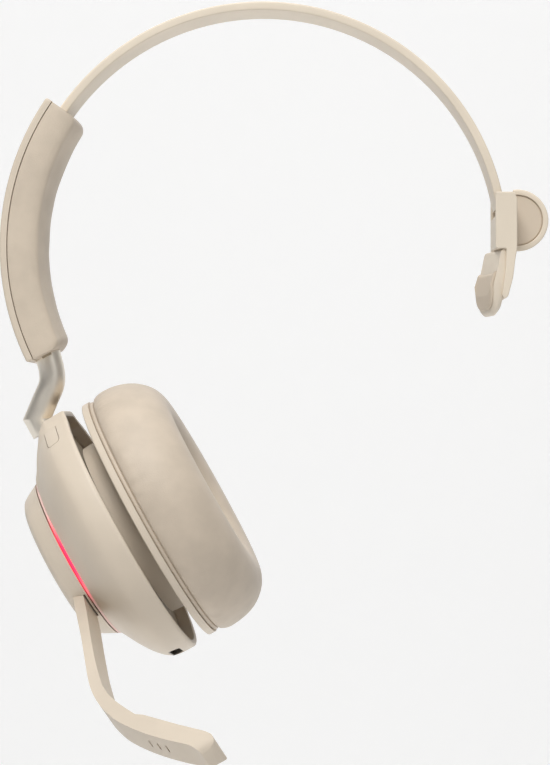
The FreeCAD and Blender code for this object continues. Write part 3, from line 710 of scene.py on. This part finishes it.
def make_boom():
    """The arm's flat bar, widening into the microphone head, with its sound slots and the fitted inner cover."""
    root = [(BOOM_ROOT, -17.1), (BOOM_ROOT, -19.9)]
    tip = rounded(TIP, [0, 0.9, 0], 5, False)
    outline = (root + flowing([(18.0, -20.1)] + OUTER_EDGE, 4)[:-1] + tip + SPLIT[-2::-1]
               + flowing(INNER_EDGE, 4) + [(18.0, -17.3)])
    arm = plate("boom_bar", boom_outline(outline), -BOOM_HALF, BOOM_HALF, BOOM, "boom_plastic", "boom",
                edge=0.0)
    carve(arm, boom_plan(), "INTERSECT")
    for reach in (84.0, 86.4, 88.8):
        carve(arm, sound_slot(reach, -1))
    soften(arm, 0.7, 3, 40)
    smooth(arm, 40)
    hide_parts("boom_arm")
    top = SPLIT + rounded([SPLIT[-1]] + HEAD_TOP + [SPLIT[0]], [0, 1.1, 2, 3, 6, 0.8, 0.1, 0], 4, False)[1:-1]
    cover = plate("microphone_grille", boom_outline(top), -BOOM_HALF, BOOM_HALF, BOOM, "boom_plastic", "boom",
                  edge=0.0)
    carve(cover, boom_plan(), "INTERSECT")
    for reach in (80.0, 82.6, 85.2):
        carve(cover, sound_slot(reach, 1))
    soften(cover, 0.45, 3, 40)
    smooth(cover, 40)
    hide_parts("microphone_cover")


def sound_slot(reach, side):
    """A short slot across the microphone head: side 1 is the mouth's side and -1 the outer side."""
    along = Vector((0.588, 0, -0.809))
    out = Vector((0.809, 0, 0.588)) * side
    line = -14.4 + (reach - 83.8) * 0.727 if side < 0 else -13.0 + (reach - 77.7) * 0.737
    centre = Vector((line, 0, -reach))
    straight, end, turns = 0.9, 0.3, 20
    rings = []
    for depth in (-0.7, 1.5):
        ring = []
        for k in range(turns):
            t = 2 * math.pi * k / turns
            across = Vector((0, straight * math.copysign(1, math.cos(t)) + end * math.cos(t), 0))
            ring.append(centre + out * depth + across + along * end * math.sin(t))
        rings.append(ring)
    return loft("sound_slot", rings, BOOM, "dark", None)


# ------------------------------------------------------------------------------------------------ temple support
DISC = Vector((69.0, 0, 7.7))


def make_temple():
    """The moulded block that the band plugs into, its tail, the inner paddle and the round side disc."""
    side = [(62.3, 14.4), (67.3, 14.4), (68.0, 12.6), (68.0, -0.7), (67.5, -3.6), (66.9, -8.5), (65.6, -13.4),
            (64.7, -14.2), (63.9, -13.2), (64.9, -6.0), (65.1, -0.7), (62.3, -0.7)]
    outline = rounded(side, [0.5, 1.2, 2, 8, 10, 10, 1.2, 1.0, 1.2, 6, 0.4, 0.5], 5)
    block = plate("temple_body", outline, -9.3, 9.3, WORLD, "band_plastic", "temple_support", edge=0.0)
    channel = [(60, 8.2), (66.0, 8.2), (66.0, 20), (60, 20)]
    carve(block, loft("channel", [[(x, y, z) for x, z in channel] for y in (-7.5, 7.5)], WORLD, "dark", None))
    soften(block, 0.5, 3, 40)
    smooth(block, 40)
    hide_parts("temple_block")
    turn = Matrix.Translation(Vector((63.5, 0, 0)) * MM) @ Matrix.Rotation(math.radians(11.0), 4, "Z")
    spine = [(-1.2, -0.7), (1.1, -0.7), (0.8, -5.0), (-0.2, -12.0), (-1.0, -17.0), (-2.2, -18.7), (-3.3, -17.6),
             (-3.5, -13.0), (-2.4, -6.5)]
    make_paddle("inner_paddle", spine, turn, "band_plastic", 8.5, "temple_paddle")
    pad = [(-2.45, -7.0), (-3.5, -13.0), (-3.4, -17.0), (-4.0, -16.6), (-4.3, -13.0), (-3.3, -7.6)]
    make_paddle("paddle_pad", pad, turn, "silicone", 8.0, "temple_pad")
    make_disc()


def make_paddle(name, outline, turn, material, half, node):
    """A curved plate whose lower corners are rounded off in the front view of its face."""
    smooth_line = rounded(outline, 1.2, 4)
    top, round_from, round_over, corner = -0.7, 6, 12, 5.0
    rings = []
    steps = 24
    for k in range(steps + 1):
        y = -half + 2 * half * k / steps
        edge = half - abs(y)
        lift = end_pull(edge, corner)
        rings.append([(x, y, min(top if z > -1 else 0.0, z + lift * max(0.0, (-z - round_from) / round_over)))
                      for x, z in smooth_line])
    thing = loft(name, rings, turn, material, "temple_support", sharp=40)
    soften(thing, 0.3, 2, 40)
    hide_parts(node)


def make_disc():
    """The round disc at the outer side, facing forwards: a raised rim about a flat inset pad."""
    place = Matrix.Translation(DISC * MM) @ Matrix.Rotation(math.radians(90), 4, "Z")
    rim = rounded([(5.0, 8.4), (1.5, 8.4), (1.5, 6.9), (2.4, 6.9), (2.4, 0.0)], [0.6, 0.5, 0.25, 0, 0], 4, False)
    disc = lathe("side_button_rim", [(5.0, 0.0), (5.0, 7.9)] + rim[1:], place, "band_plastic", "temple_support",
                 turns=120)
    pad = [(2.5, 0.0), (2.5, 6.8), (2.2, 6.8), (1.98, 6.5), (1.95, 0.0)]
    inset = lathe("side_button_pad", pad, place, "silicone", "temple_support", turns=96)
    for thing, node in ((disc, "side_disc"), (inset, "side_disc_pad")):
        wall = [(50, -5), (67.9, -5), (67.9, 30), (50, 30)]
        carve(thing, loft("wall", [[(x, y, z) for x, z in wall] for y in (-20, 20)], WORLD, "dark", None))
        smooth(thing, 35)
        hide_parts(node)


# ------------------------------------------------------------------------------------------------ frame pieces kept
def finish_frame():
    """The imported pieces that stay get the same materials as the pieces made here."""
    for name, thing in frame["nodes"].items():
        slot = next(part["material_slot"] for part in frame["record"]["subparts"] if part["node"] == name)
        for place in thing.material_slots:
            place.material = MATERIALS[slot]


# ------------------------------------------------------------------------------------------------ stage
def area_light(name, place, target, size, power, colour=(1, 1, 1)):
    data = bpy.data.lights.new(name, "AREA")
    data.shape = "DISK"
    data.size = size
    data.energy = power
    data.color = colour
    light = bpy.data.objects.new(name, data)
    bpy.context.collection.objects.link(light)
    light.location = place
    light.rotation_euler = (Vector(target) - Vector(place)).to_track_quat("-Z", "Y").to_euler()


def make_stage():
    """A pale floor that curves up into a pale backdrop, so that no horizon shows."""
    low = cad_box[0].z - 0.55
    width, near, bend, radius, top = 4.0, -3.0, 0.8, 0.7, 4.0
    line = [(near, low), (bend, low)]
    line += [(bend + radius * math.sin(t), low + radius * (1 - math.cos(t)))
             for t in (math.pi / 2 * k / 16 for k in range(1, 17))]
    line += [(bend + radius, top)]
    points = [(x, y, z) for y, z in line for x in (-width, width)]
    faces = [(2 * k, 2 * k + 1, 2 * k + 3, 2 * k + 2) for k in range(len(line) - 1)]
    mesh = bpy.data.meshes.new("floor")
    mesh.from_pydata(points, [], faces)
    mesh.shade_smooth()
    floor = bpy.data.objects.new("floor", mesh)
    bpy.context.collection.objects.link(floor)
    material, tree, shader = new_material("paper", (0.93, 0.93, 0.93), 0.9)
    shader.inputs["Specular IOR Level"].default_value = 0.0
    shader.inputs["Emission Color"].default_value = (1, 1, 1, 1)
    shader.inputs["Emission Strength"].default_value = 0.16
    mesh.materials.append(material)


def make_lights():
    world = bpy.data.worlds.new("studio")
    bpy.context.scene.world = world
    world.use_nodes = True
    world.node_tree.nodes["Background"].inputs["Color"].default_value = (1, 1, 1, 1)
    world.node_tree.nodes["Background"].inputs["Strength"].default_value = 0.24
    centre = (0.0, 0.0, -0.03)
    area_light("key", (-0.22, -0.85, 0.86), centre, 0.5, 9.4, (1.0, 0.985, 0.96))
    area_light("fill", (0.6, -1.1, 0.45), centre, 0.9, 1.4)
    area_light("top", (-0.3, 0.0, 0.9), centre, 0.6, 0.8)
    area_light("backdrop_wash", (0.0, -0.2, 2.2), (0, 1.3, 0.1), 2.0, 25)


def make_camera():
    """Straight ahead and a little below the band's centre, as far off as the band's width shows it to be."""
    place, aim = Vector((15.04, -600.0, -46.3)) * MM, Vector((3.43, 0.0, -36.2)) * MM
    data = bpy.data.cameras.new("camera")
    camera = bpy.data.objects.new("camera", data)
    bpy.context.collection.objects.link(camera)
    data.sensor_width = 36.0
    picture_height = 206.55
    data.lens = data.sensor_width * -place.y / MM / picture_height
    camera.location = place
    camera.rotation_euler = (aim - place).to_track_quat("-Z", "Y").to_euler()
    bpy.context.scene.camera = camera
    bpy.context.scene.view_settings.view_transform = "Standard"


make_camera()
make_lights()
make_stage()
finish_frame()
make_band()
make_sleeve()
make_arm()
make_housing()
make_cup_details()
make_speaker()
make_hub()
make_boom()
make_temple()
